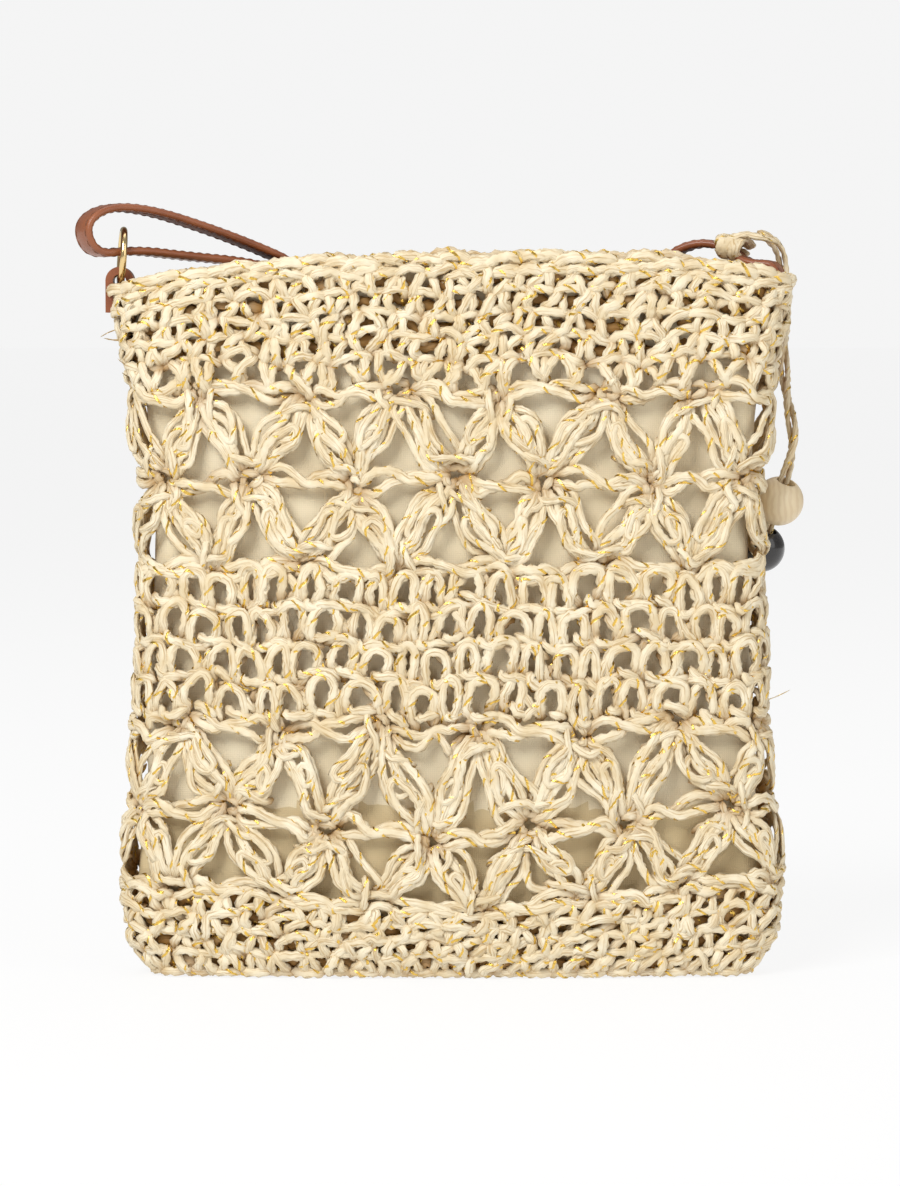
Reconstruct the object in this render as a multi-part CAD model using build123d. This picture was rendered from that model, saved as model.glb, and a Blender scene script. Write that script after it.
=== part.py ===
from build123d import *
import os
from math import cos, hypot, pi, radians, sin, tan

# Crossbody purse in crocheted straw. Millimetres; +Z up, the front faces -Y,
# the origin is the middle of the base on the surface that the purse stands on.

# Bag body: plan sections are ovals of four arcs (height, half width, half depth, end radius)
SECTIONS = [
    (0, 97.0, 14.0, 10.0),
    (12, 104.5, 18.5, 12.0),
    (30, 106.5, 20.5, 13.0),
    (62, 103.0, 22.0, 14.0),
    (100, 101.5, 22.5, 14.0),
    (145, 100.0, 22.0, 14.0),
    (180, 102.3, 21.0, 14.0),
    (210, 106.5, 20.0, 14.0),
    (236, 110.0, 19.5, 14.0),
]
RIM_POINTS = [(-109.0, 220.0), (0.0, 231.0), (109.0, 224.0)]   # rim line seen from the front (x, z)
CROCHET_THICKNESS = 5.0
CHAIN_HEIGHT = 7.0            # rim chain, measured down from the rim line
LINING_GAP = 0.3
LINING_THICKNESS = 1.2
LINING_BELOW_RIM = 1.5
BAND_LEVELS = {               # lower edge of each crochet band
    "crochet_base": -1.0,
    "crochet_bottom_band": 6.0,
    "crochet_lower_star_band": 30.0,
    "crochet_middle_band": 82.0,
    "crochet_upper_star_band": 130.0,
    "crochet_top_band": 187.0,
}
REACH = 400.0                 # larger than the bag in every direction

# Zip across the mouth
ZIP_LEVEL = 222.0
TAPE_THICKNESS = 0.8
FACING_EDGE = 8.0             # inner edge of each facing, from the middle of the mouth
FACING_END = 80.0
FLAP_START, FLAP_END = -56.0, 55.0
TAPE_OUTER, TAPE_INNER = 7.7, 1.7
TEETH_OUTER, TEETH_INNER, TEETH_HEIGHT = 2.6, 0.8, 2.2
END_CLEARANCE = 0.3
SLIDER_X = 66.0               # where the slider parks when the zip is shut
SLIDER_LENGTH, SLIDER_WIDTH, SLIDER_PLATE = 9.0, 7.6, 1.0
PULL_LENGTH, PULL_WIDTH, PULL_THICKNESS = 21.0, 6.4, 1.2

# Rings, tabs and strap
RING_RADIUS, RING_WIRE = 8.4, 1.1
LEFT_RING = (-105.5, 0.0, 231.0)
RIGHT_RING = (100.5, 27.0, 217.0)
STRAP_WIDTH, STRAP_THICKNESS = 11.0, 2.6
LEFT_TURN, RIGHT_TURN = 28.0, 16.0   # how far each strap end is turned back from the X axis
TAB_WIDTH, TAB_THICKNESS, TAB_HALF_GAP = 8.0, 2.4, 2.1
TAB_TOP = -3.4                # top of the tab's arch, from the ring's centre
LEFT_TAB_LOW, RIGHT_TAB_LOW = 213.0, 196.0
LUG_HEIGHT = 8.0              # sewn root of the right tab, on the back of the bag
STRAP_IN_RING = 2.3           # middle of the strap inside the ring, above the ring's centre
TUBE_RADIUS = 3.0             # plain tube of the strap's section area
COIL_CENTRE = (0.0, 87.0)
COIL_OUTER, COIL_INNER, COIL_HEIGHT = 62.0, 48.0, 11.0

# Straw tassel with two beads
CORD_RADIUS = 2.2
BEAD_CENTRE, BEAD_RADIUS = (106.5, 16.0, 152.0), 8.0
BLACK_BEAD_CENTRE, BLACK_BEAD_RADIUS = (101.2, 22.0, 136.3), 7.75
BEAD_BORE = 2.5
KNOT_RADIUS = 4.0


def oval_wire(height, half_width, half_depth, end_radius, inset):
    """Plan section: two long shallow arcs joined by two round ends, drawn in by inset."""
    end_centre = half_width - end_radius
    long_radius = (end_centre**2 + half_depth**2 - end_radius**2) / (2 * (half_depth - end_radius))
    long_centre = long_radius - half_depth
    reach = hypot(end_centre, long_centre)
    radius = end_radius - inset
    tangent_x = end_centre + radius * end_centre / reach
    tangent_y = radius * long_centre / reach
    corners = [(tangent_x, -tangent_y), (tangent_x, tangent_y), (-tangent_x, tangent_y), (-tangent_x, -tangent_y)]
    middles = [
        (half_width - inset, 0),
        (0, half_depth - inset),
        (-(half_width - inset), 0),
        (0, -(half_depth - inset)),
    ]
    arcs = [ThreePointArc(corners[i], middles[i], corners[(i + 1) % 4]) for i in range(4)]
    return Pos(0, 0, height) * Wire(arcs)


def bag_solid(inset):
    """The bag's outer form, filled, with its walls drawn in by inset."""
    return Solid.make_loft([oval_wire(*section, inset) for section in SECTIONS])


def slab(low, high):
    """Everything between two heights."""
    return Pos(0, 0, (low + high) / 2) * Box(REACH, REACH, high - low)


def below_rim(drop):
    """Everything under the rim line lowered by drop."""
    start, middle, end = [(x, z - drop) for x, z in RIM_POINTS]
    arc = Plane.XZ * ThreePointArc(start, middle, end)
    wide = REACH / 2
    outline = [(end[0], end[1]), (wide, end[1]), (wide, -wide), (-wide, -wide), (-wide, start[1]), start]
    rest = Plane.XZ * Polyline(*outline)
    return extrude(make_face(Wire([arc.edge(), *rest.edges()])), REACH / 2, both=True)


def smooth_path(name, points):
    """Straight runs joined by arcs as large as their two runs allow."""
    points = [Vector(*point) for point in points]
    radii = []
    for before, corner, after in zip(points, points[1:], points[2:]):
        first, second = corner - before, after - corner
        half_turn = radians(first.get_angle(second)) / 2
        radii.append(0.45 * min(first.length, second.length) / tan(half_turn))
    print(name, "radii", [round(radius, 1) for radius in radii])
    return FilletPolyline(*points, radius=radii)


def round_tube(name, points, radius):
    """A round cord along a smooth path, with its volume checked against its length."""
    path = smooth_path(name, points)
    section = Plane(origin=path @ 0, z_dir=path % 0) * Circle(radius)
    tube = sweep(section, path=path)
    print(name, "length", round(path.length, 1), "volume ratio", round(tube.volume / (pi * radius**2 * path.length), 4))
    return tube


def strap_plane(ring, direction):
    """Upright plane through a ring's centre line: local x runs along the strap, local y is up."""
    across = Vector(direction[1], -direction[0], 0)
    return Plane(origin=(ring[0], ring[1], 0), x_dir=(direction[0], direction[1], 0), z_dir=across)


def flat_strap(name, plane, points):
    """A flat strap whose middle line lies in an upright plane."""
    path = smooth_path(name, [plane.from_local_coords(Vector(u, z, 0)) for u, z in points])
    section_plane = Plane(origin=path @ 0, x_dir=plane.z_dir, z_dir=path % 0)
    strap = sweep(section_plane * Rectangle(STRAP_WIDTH, STRAP_THICKNESS), path=path)
    print(name, "length", round(path.length, 1))
    return strap


def ring(centre, axis):
    """An O-ring that turns about the line through both rings."""
    return Plane(origin=centre, z_dir=axis) * Torus(RING_RADIUS, RING_WIRE)


def tab(centre, low):
    """A folded leather tab under a ring's lowest wire: an arch with two legs."""
    outer = TAB_HALF_GAP + TAB_THICKNESS
    crown = centre[2] + TAB_TOP - outer
    foot = Pos(centre[0] + wire_shift, centre[1], (low + crown) / 2)
    head = Pos(centre[0] + wire_shift, centre[1], crown) * Rot(90, 0, 0)
    solid_tab = foot * Box(2 * outer, TAB_WIDTH, crown - low) + head * Cylinder(outer, TAB_WIDTH)
    opening = foot * Box(2 * TAB_HALF_GAP, TAB_WIDTH, crown - low) + head * Cylinder(TAB_HALF_GAP, TAB_WIDTH)
    return solid_tab - opening


def bored_bead(centre, radius, direction):
    """A round bead with a bore along the cord."""
    place = Plane(origin=centre, z_dir=direction)
    return place * (Sphere(radius) - Cylinder(BEAD_BORE, 3 * radius))


os.makedirs("parts", exist_ok=True)
nodes = {}

# ---- crochet body ----
wall = bag_solid(0) - (bag_solid(CROCHET_THICKNESS) & slab(CROCHET_THICKNESS, REACH))
chain_top = wall & below_rim(0)
body_wall = wall & below_rim(CHAIN_HEIGHT)
nodes["crochet_rim_chain"] = chain_top - below_rim(CHAIN_HEIGHT)
levels = list(BAND_LEVELS.values()) + [REACH]
for index, band in enumerate(BAND_LEVELS):
    nodes[band] = body_wall & slab(levels[index], levels[index + 1])

# ---- lining ----
lining_outer = CROCHET_THICKNESS + LINING_GAP
lining_inner = lining_outer + LINING_THICKNESS
lining_floor = lining_outer + LINING_THICKNESS
cavity = bag_solid(lining_inner) & slab(lining_floor, REACH)
lining = ((bag_solid(lining_outer) & slab(lining_outer, REACH)) - cavity) & below_rim(LINING_BELOW_RIM)
front_half = Pos(0, -REACH / 2, 0) * Box(REACH, REACH, 2 * REACH)
nodes["lining_base"] = lining & slab(0, lining_floor)
lining_walls = lining & slab(lining_floor, REACH)
nodes["lining_front"] = lining_walls & front_half
nodes["lining_back"] = lining_walls - front_half

# ---- zip ----
tape_low, tape_high = ZIP_LEVEL - TAPE_THICKNESS / 2, ZIP_LEVEL + TAPE_THICKNESS / 2
mouth_plate = bag_solid(lining_inner) & slab(tape_low, tape_high)
mouth_plate = mouth_plate & (Pos(0, 0, ZIP_LEVEL) * Box(2 * FACING_END, REACH, 10))
middle_strip = Box(REACH, 2 * FACING_EDGE, 2 * REACH)
facings = mouth_plate - middle_strip
nodes["zip_facing_front"] = facings & front_half
nodes["zip_facing_back"] = facings - front_half


def zip_box(x_from, x_to, y_from, y_to, height, level=ZIP_LEVEL):
    """A flat box of the zip, centred on a level."""
    middle = Pos((x_from + x_to) / 2, (y_from + y_to) / 2, level)
    return middle * Box(x_to - x_from, y_to - y_from, height)


slot_half = TEETH_INNER
start_piece = zip_box(-FACING_END, FLAP_START - END_CLEARANCE, -FACING_EDGE, FACING_EDGE, TAPE_THICKNESS)
start_slot = zip_box(-FACING_END + 4, FLAP_START, -slot_half, slot_half, TAPE_THICKNESS)
nodes["zip_start_piece"] = start_piece - start_slot
end_piece = zip_box(FLAP_END + END_CLEARANCE, FACING_END, -FACING_EDGE, FACING_EDGE, TAPE_THICKNESS)
end_slot = zip_box(FLAP_END, FACING_END - 4, -slot_half, slot_half, TAPE_THICKNESS)
nodes["zip_end_piece"] = end_piece - end_slot
for side, name in ((-1, "front"), (1, "back")):
    tape_edges = sorted((side * TAPE_OUTER, side * TAPE_INNER))
    nodes[f"zip_{name}_tape"] = zip_box(FLAP_START, FLAP_END, *tape_edges, TAPE_THICKNESS)
    teeth_edges = sorted((side * TEETH_OUTER, side * TEETH_INNER))
    teeth = zip_box(FLAP_START, FLAP_END, *teeth_edges, TEETH_HEIGHT)
    nodes[f"zip_{name}_teeth"] = teeth - nodes[f"zip_{name}_tape"]

plate_lift = TEETH_HEIGHT / 2 + END_CLEARANCE + SLIDER_PLATE / 2
plate = Box(SLIDER_LENGTH, SLIDER_WIDTH, SLIDER_PLATE)
post_height = 2 * plate_lift
post = Box(4.0, 1.0, post_height)
bridge_level = ZIP_LEVEL + plate_lift + SLIDER_PLATE / 2
bridge_ears = Box(5.0, 1.2, 2.4)
slider = Pos(SLIDER_X, 0, ZIP_LEVEL + plate_lift) * plate + Pos(SLIDER_X, 0, ZIP_LEVEL - plate_lift) * plate
slider += Pos(SLIDER_X, 0, ZIP_LEVEL) * post
for side in (-1, 1):
    slider += Pos(SLIDER_X, side * 1.5, bridge_level + 1.2) * bridge_ears
nodes["zip_slider"] = slider
pin_level = bridge_level + 1.4
nodes["zip_pull_pin"] = Pos(SLIDER_X, 0, pin_level) * Rot(90, 0, 0) * Cylinder(0.5, 1.8)
pull_knuckle = Pos(SLIDER_X, 0, pin_level) * Rot(90, 0, 0) * (Cylinder(1.1, 1.2) - Cylinder(0.55, 1.2))
pull_neck = Pos(SLIDER_X + 3.0, 0, pin_level) * Box(4.4, 1.2, PULL_THICKNESS)
pull_plate = Pos(SLIDER_X + 4.5 + PULL_LENGTH / 2, 0, pin_level) * Box(PULL_LENGTH, PULL_WIDTH, PULL_THICKNESS)
nodes["zip_pull"] = pull_knuckle + pull_neck + pull_plate

# ---- rings and tabs ----
ring_axis = (Vector(*RIGHT_RING) - Vector(*LEFT_RING)).normalized()
wire_shift = RING_RADIUS * ring_axis.Z / ring_axis.X     # a ring's lowest wire, from its centre
print("strap axis", [round(value, 6) for value in ring_axis])
nodes["left_ring"] = ring(LEFT_RING, ring_axis)
nodes["right_ring"] = ring(RIGHT_RING, ring_axis)
wall_filled = (bag_solid(0) - bag_solid(lining_inner)) & below_rim(0)
nodes["left_tab"] = tab(LEFT_RING, LEFT_TAB_LOW) - wall_filled
lug_depth = RIGHT_RING[1] + TAB_WIDTH / 2
lug_place = Pos(RIGHT_RING[0] + wire_shift, lug_depth / 2, RIGHT_TAB_LOW + LUG_HEIGHT / 2)
lug = lug_place * Box(2 * (TAB_HALF_GAP + TAB_THICKNESS), lug_depth, LUG_HEIGHT)
nodes["right_tab"] = (tab(RIGHT_RING, RIGHT_TAB_LOW) + lug) - bag_solid(0)

# ---- strap ends ----
left_direction = (cos(radians(LEFT_TURN)), sin(radians(LEFT_TURN)))
right_direction = (-cos(radians(RIGHT_TURN)), sin(radians(RIGHT_TURN)))
left_plane = strap_plane(LEFT_RING, left_direction)
right_plane = strap_plane(RIGHT_RING, right_direction)
in_left_ring = LEFT_RING[2] + STRAP_IN_RING
BUCKLE_U, BUCKLE_LEVEL = 64.6, 190.0       # centre bar of the slide buckle, along the strap and up
left_loop_points = [
    (67.2, BUCKLE_LEVEL + 5.0), (67.2, BUCKLE_LEVEL - 3.6), (62.0, BUCKLE_LEVEL - 3.6), (62.0, 203.0),
    (61.0, 216.0), (56.0, 226.5), (42.0, 229.8), (22.0, 231.3), (3.0, in_left_ring), (-10.5, 232.0),
    (-14.0, 241.0), (-6.0, 246.0), (9.0, 245.4), (28.0, 240.4), (45.0, 235.2), (61.0, 229.0),
    (69.0, 215.0), (71.2, 200.0), (71.4, 186.0),
]
nodes["strap_left_loop"] = flat_strap("strap_left_loop", left_plane, left_loop_points)
in_right_ring = RIGHT_RING[2] + STRAP_IN_RING
over_right_ring = RIGHT_RING[2] + RING_RADIUS + RING_WIRE + 2.1
right_end_points = [
    (27.0, 228.6), (15.0, 230.2), (10.6, 225.0), (6.6, 220.0), (1.0, in_right_ring), (-6.4, in_right_ring + 0.4),
    (-6.2, over_right_ring), (3.4, over_right_ring + 0.3), (9.0, 233.6), (17.0, 236.0), (26.0, 234.0),
    (34.0, 228.0), (37.6, 219.0),
]
nodes["strap_right_end"] = flat_strap("strap_right_end", right_plane, right_end_points)

# Slide buckle: a frame with a centre bar, behind the bag
buckle_width, buckle_height, rod = STRAP_WIDTH + 6.0, 16.0, 1.0
buckle_plane = Plane(origin=left_plane.from_local_coords(Vector(BUCKLE_U, BUCKLE_LEVEL, 0)),
                     x_dir=left_plane.z_dir, z_dir=left_plane.x_dir)
buckle = Box(buckle_width, buckle_height, 2 * rod) - Box(buckle_width - 4 * rod, buckle_height - 4 * rod, 2 * rod)
nodes["slide_buckle"] = buckle_plane * (buckle + Box(buckle_width - 2 * rod, 2 * rod, 2 * rod))

# ---- strap's free run ----


def first_run(plane, points, length=30.0):
    """The end of a strap piece, and a point straight on from it."""
    before, end = [plane.from_local_coords(Vector(u, z, 0)) for u, z in points[-2:]]
    onward = end + (end - before).normalized() * length
    print("strap goes on from", [round(value, 2) for value in end], "to", [round(value, 2) for value in onward])
    return [tuple(end), tuple(onward)]


left_fall_points = first_run(left_plane, left_loop_points) + [
    (-43.2, 35.5, 122), (-46.5, 39.5, 90), (-51.0, 47.5, 61),
    (-54.5, 59.0, 40), (-55.0, 67.0, 26), (-55.0, 67.0, COIL_HEIGHT),
]
right_fall_points = first_run(right_plane, right_end_points) + [
    (51.0, 42.2, 157), (51.2, 43.6, 122), (52.4, 46.0, 90), (54.0, 51.0, 61),
    (55.0, 60.0, 40), (55.0, 67.0, 26), (55.0, 67.0, COIL_HEIGHT),
]
nodes["strap_left_fall"] = round_tube("strap_left_fall", left_fall_points, TUBE_RADIUS)
nodes["strap_right_fall"] = round_tube("strap_right_fall", right_fall_points, TUBE_RADIUS)
coil = Cylinder(COIL_OUTER, COIL_HEIGHT) - Cylinder(COIL_INNER, COIL_HEIGHT)
nodes["strap_coil"] = Pos(COIL_CENTRE[0], COIL_CENTRE[1], COIL_HEIGHT / 2) * coil

# ---- tassel ----
hitch_at = right_plane.from_local_coords(Vector(9.2, 233.5, 0))
hitch_plane = Plane(origin=hitch_at, x_dir=right_plane.z_dir, z_dir=right_plane.from_local_coords(
    Vector(13.0, 234.8, 0)) - right_plane.from_local_coords(Vector(5.4, 230.6, 0)))
hitch_sleeve = Box(STRAP_WIDTH + 7.0, 9.0, 6.0) - Box(STRAP_WIDTH + 1.0, STRAP_THICKNESS + 1.2, 6.0)
nodes["tassel_hitch"] = hitch_plane * fillet(hitch_sleeve.edges().filter_by(Axis.Z).group_by(SortBy.DISTANCE)[-1], 2.0)

cord_direction = (Vector(*BLACK_BEAD_CENTRE) - Vector(*BEAD_CENTRE)).normalized()
bead_entry = Vector(*BEAD_CENTRE) - cord_direction * 17.0
knot_centre = Vector(*BLACK_BEAD_CENTRE) + cord_direction * (BLACK_BEAD_RADIUS + KNOT_RADIUS + 0.6)
tassel_points = [
    (100.5, 32.0, 239.5), (107.0, 34.0, 237.0), (109.8, 35.0, 226.0), (109.6, 33.6, 209.0),
    (108.6, 27.0, 194.0), (110.2, 18.0, 180.0), tuple(bead_entry), tuple(knot_centre - cord_direction * 3.0),
]
nodes["tassel_cord"] = round_tube("tassel_cord", tassel_points, CORD_RADIUS)
nodes["natural_bead"] = bored_bead(BEAD_CENTRE, BEAD_RADIUS, cord_direction)
nodes["black_bead"] = bored_bead(BLACK_BEAD_CENTRE, BLACK_BEAD_RADIUS, cord_direction)
nodes["tassel_knot"] = Pos(*knot_centre) * Sphere(KNOT_RADIUS) - nodes["tassel_cord"]
print("bead axis", [round(value, 6) for value in cord_direction])

for name, shape in nodes.items():
    shape.label = name
    export_step(shape, f"parts/{name}.step")
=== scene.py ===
"""Crossbody purse in crocheted straw: the visual model around the fixed frame."""
from __future__ import annotations

import logging
import math
from dataclasses import dataclass, field
from enum import Enum
from typing import Iterable, Sequence

import bpy
import numpy as np
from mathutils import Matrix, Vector


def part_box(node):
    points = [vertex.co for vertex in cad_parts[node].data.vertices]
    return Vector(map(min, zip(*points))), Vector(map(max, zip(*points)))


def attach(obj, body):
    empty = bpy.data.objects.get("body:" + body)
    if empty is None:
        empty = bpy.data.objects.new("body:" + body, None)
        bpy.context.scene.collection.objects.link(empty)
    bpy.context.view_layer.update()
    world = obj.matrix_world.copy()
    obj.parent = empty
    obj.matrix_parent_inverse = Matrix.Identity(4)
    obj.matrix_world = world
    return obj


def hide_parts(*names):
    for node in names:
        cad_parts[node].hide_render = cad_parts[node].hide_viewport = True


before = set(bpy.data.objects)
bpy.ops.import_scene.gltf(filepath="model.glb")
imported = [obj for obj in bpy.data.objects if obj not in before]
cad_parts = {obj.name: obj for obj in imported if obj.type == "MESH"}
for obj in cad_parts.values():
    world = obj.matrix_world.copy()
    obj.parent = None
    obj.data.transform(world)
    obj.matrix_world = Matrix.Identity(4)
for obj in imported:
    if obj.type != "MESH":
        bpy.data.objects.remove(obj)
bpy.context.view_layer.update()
LOG = logging.getLogger("purse")
MM = 0.001
Point = tuple[float, float, float]


class Row(Enum):
    """Kinds of crochet row."""

    SINGLE = "single"
    TALL = "tall"
    MESH = "mesh"


# ---------------------------------------------------------------- surface of the bag


@dataclass(frozen=True)
class BagForm:
    """The bag's outer form: ovals of four arcs at several heights, in millimetres."""

    heights: tuple[float, ...] = (0, 12, 30, 62, 100, 145, 180, 210, 236)
    half_widths: tuple[float, ...] = (97.0, 104.5, 106.5, 103.0, 101.5, 100.0, 102.3, 106.5, 110.0)
    half_depths: tuple[float, ...] = (14.0, 18.5, 20.5, 22.0, 22.5, 22.0, 21.0, 20.0, 19.5)
    end_radii: tuple[float, ...] = (10.0, 12.0, 13.0, 14.0, 14.0, 14.0, 14.0, 14.0, 14.0)
    girth: float = 430.0
    rim_left: float = 220.0
    rim_middle: float = 231.0
    rim_right: float = 224.0

    def rim(self, x: np.ndarray) -> np.ndarray:
        """Height of the rim line at x.

        Args:
            x: Distance across the bag.

        Returns:
            The height of the rim there.
        """
        lean = (self.rim_right - self.rim_left) / 218.0
        drop = self.rim_middle - (self.rim_left + self.rim_right) / 2
        return self.rim_middle + lean * x - drop * np.abs(x / 109.0) ** 3.5

    def place(self, s: np.ndarray, h: np.ndarray, depth: np.ndarray) -> tuple[np.ndarray, np.ndarray]:
        """Points and outward normals on the bag.

        Args:
            s: Distance round the bag from the middle of the front, in nominal millimetres.
            h: Height before the rows sag.
            depth: Distance outside the form.

        Returns:
            Points in metres and unit normals.
        """
        s, h, depth = np.broadcast_arrays(np.asarray(s, float), np.asarray(h, float),
                                          np.asarray(depth, float))
        loose = np.clip(np.minimum(h - 2.0, 226.0 - h) / 16.0, 0, 1)
        s, h = s + self.stray(s, h, 0.0) * loose, h + self.stray(h, s, 2.0) * loose
        a = np.interp(h, self.heights, self.half_widths)
        b = np.interp(h, self.heights, self.half_depths)
        r = np.interp(h, self.heights, self.end_radii)
        end = a - r
        big = (end**2 + b**2 - r**2) / (2 * (b - r))
        turn = np.arctan2(end, big - b)
        quarter = big * turn + r * (math.pi / 2 - turn)
        laps = (s / self.girth) % 1.0 * 4
        part = np.floor(laps).astype(int) % 4
        share = laps - np.floor(laps)
        share = np.where(part % 2 == 1, 1 - share, share)
        run = share * quarter
        on_long = run < big * turn
        angle = np.where(on_long, run / big, turn + (run - big * turn) / r)
        x = np.where(on_long, big * np.sin(angle), end + r * np.sin(angle))
        y = np.where(on_long, -(big * np.cos(angle) - (big - b)), -r * np.cos(angle))
        sign_x = np.where(part >= 2, -1.0, 1.0)
        sign_y = np.where((part == 1) | (part == 2), -1.0, 1.0)
        normal = np.stack([np.sin(angle) * sign_x, -np.cos(angle) * sign_y, np.zeros_like(x)], -1)
        x, y = x * sign_x, y * sign_y
        points = np.stack([x, y, h + self.sag(x, h)], -1) + normal * depth[..., None]
        return points * MM, normal

    def stray(self, first: np.ndarray, second: np.ndarray, phase: float) -> np.ndarray:
        """How far handwork strays from its even place, in millimetres; it repeats round the bag.

        Args:
            first: Distance round the bag, or height.
            second: The other of the two.
            phase: Zero for the way round, else the way up.

        Returns:
            The distance it strays.
        """
        turn = 2 * math.pi / self.girth
        round_bag, up = (first, second) if phase == 0.0 else (second, first)
        return (1.3 * np.sin(turn * 9 * round_bag + 0.043 * up + phase)
                + 0.8 * np.sin(turn * 23 * round_bag - 0.11 * up)
                + 0.5 * np.sin(turn * 41 * round_bag + 0.19 * up + phase))

    def sag(self, x: np.ndarray, h: np.ndarray) -> np.ndarray:
        """How far a row leaves its level: the low rows sag, the top rows follow the rim.

        Args:
            x: Distance across the bag.
            h: Height before the rows sag.

        Returns:
            The change of height.
        """
        middle = np.cos(np.clip(x / 108.0, -1, 1) * math.pi / 2) ** 2
        low = np.interp(h, (0, 4, 25, 45, 60, 84, 240), (0, 0, 6, 11, 10, 0, 0))
        top = np.clip((h - 186.0) / (self.rim_middle - 186.0), 0, 1) ** 1.4
        return -low * middle + (self.rim(x) - self.rim_middle) * top


FORM = BagForm()


# ---------------------------------------------------------------- shader groups and finishes


class NodeSheet:
    """Adds and links nodes in one tree."""

    def __init__(self, tree: bpy.types.NodeTree) -> None:
        """Keep the tree."""
        self.tree = tree

    def add(self, kind: str, inputs: dict | None = None, **settings: object) -> bpy.types.Node:
        """Add a node.

        Args:
            kind: The node's type name, without ShaderNode.
            inputs: Socket name or index to value or to a linked socket.
            settings: Attributes set on the node.

        Returns:
            The new node.
        """
        node = self.tree.nodes.new(kind if kind.startswith("Node") else "ShaderNode" + kind)
        for name, value in settings.items():
            setattr(node, name, value)
        for name, value in (inputs or {}).items():
            if isinstance(value, bpy.types.NodeSocket):
                self.tree.links.new(value, node.inputs[name])
            else:
                node.inputs[name].default_value = value
        return node

    def math(self, operation: str, *values: object) -> bpy.types.NodeSocket:
        """A math node's result."""
        return self.add("Math", dict(enumerate(values)), operation=operation).outputs[0]

    def ramp(self, factor: bpy.types.NodeSocket,
             stops: Sequence[tuple[float, float]]) -> bpy.types.NodeSocket:
        """A grey ramp from (place, value) stops.

        Args:
            factor: The linked value.
            stops: Place and grey value of each stop.

        Returns:
            The ramp's output.
        """
        node = self.add("ValToRGB", {0: factor})
        while len(node.color_ramp.elements) < len(stops):
            node.color_ramp.elements.new(0.5)
        for element, (place, value) in zip(node.color_ramp.elements, stops):
            element.position = place
            element.color = (value, value, value, 1)
        return node.outputs[0]

    def mix(self, factor: object, first: object, second: object) -> bpy.types.NodeSocket:
        """Mix two colours.

        Args:
            factor: Share of the second colour.
            first: A colour or a link.
            second: A colour or a link.

        Returns:
            The mixed colour's output.
        """
        node = self.add("Mix", data_type="RGBA")
        for index, value in ((0, factor), (6, first), (7, second)):
            if isinstance(value, bpy.types.NodeSocket):
                self.tree.links.new(value, node.inputs[index])
            else:
                node.inputs[index].default_value = value
        return node.outputs[2]


def shader_group(name: str, inputs: dict[str, tuple[str, object]], outputs: dict[str, str]) -> tuple:
    """Make an empty shader node group.

    Args:
        name: The group's name.
        inputs: Socket name to (socket type, default).
        outputs: Socket name to socket type.

    Returns:
        The tree, its sheet, its input node and its output node.
    """
    tree = bpy.data.node_groups.new(name, "ShaderNodeTree")
    for socket, (kind, default) in inputs.items():
        item = tree.interface.new_socket(socket, in_out="INPUT", socket_type="NodeSocket" + kind)
        if default is not None:
            item.default_value = default
    for socket, kind in outputs.items():
        tree.interface.new_socket(socket, in_out="OUTPUT", socket_type="NodeSocket" + kind)
    sheet = NodeSheet(tree)
    return tree, sheet, sheet.add("NodeGroupInput"), sheet.add("NodeGroupOutput")


def mottle_group() -> bpy.types.NodeTree:
    """Uneven tone from noise at two scales, used by every finish.

    Returns:
        The node group.
    """
    tree, sheet, given, result = shader_group(
        "mottle",
        {"Vector": ("Vector", None), "Coarse": ("Float", 60.0), "Fine": ("Float", 900.0)},
        {"Tone": "Float", "Grain": "Float"},
    )
    coarse = sheet.add("TexNoise", {"Vector": given.outputs[0], "Scale": given.outputs[1], "Detail": 3.0})
    fine = sheet.add("TexNoise", {"Vector": given.outputs[0], "Scale": given.outputs[2], "Detail": 2.0})
    sheet.tree.links.new(coarse.outputs[0], result.inputs[0])
    sheet.tree.links.new(fine.outputs[0], result.inputs[1])
    return tree


def weave_group() -> bpy.types.NodeTree:
    """A plain weave of crossing threads from a surface's own coordinates.

    Returns:
        The node group.
    """
    tree, sheet, given, result = shader_group(
        "weave", {"Vector": ("Vector", None), "Threads": ("Float", 2200.0)}, {"Height": "Float"}
    )
    split = sheet.add("SeparateXYZ", {0: given.outputs[0]})
    across = sheet.math("SINE", sheet.math("MULTIPLY", split.outputs[0], given.outputs[1]))
    along = sheet.math("SINE", sheet.math("MULTIPLY", split.outputs[2], given.outputs[1]))
    height = sheet.math("MULTIPLY", sheet.math("ABSOLUTE", across), sheet.math("ABSOLUTE", along))
    sheet.tree.links.new(height, result.inputs[0])
    return tree


MOTTLE = mottle_group()
WEAVE = weave_group()


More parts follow.
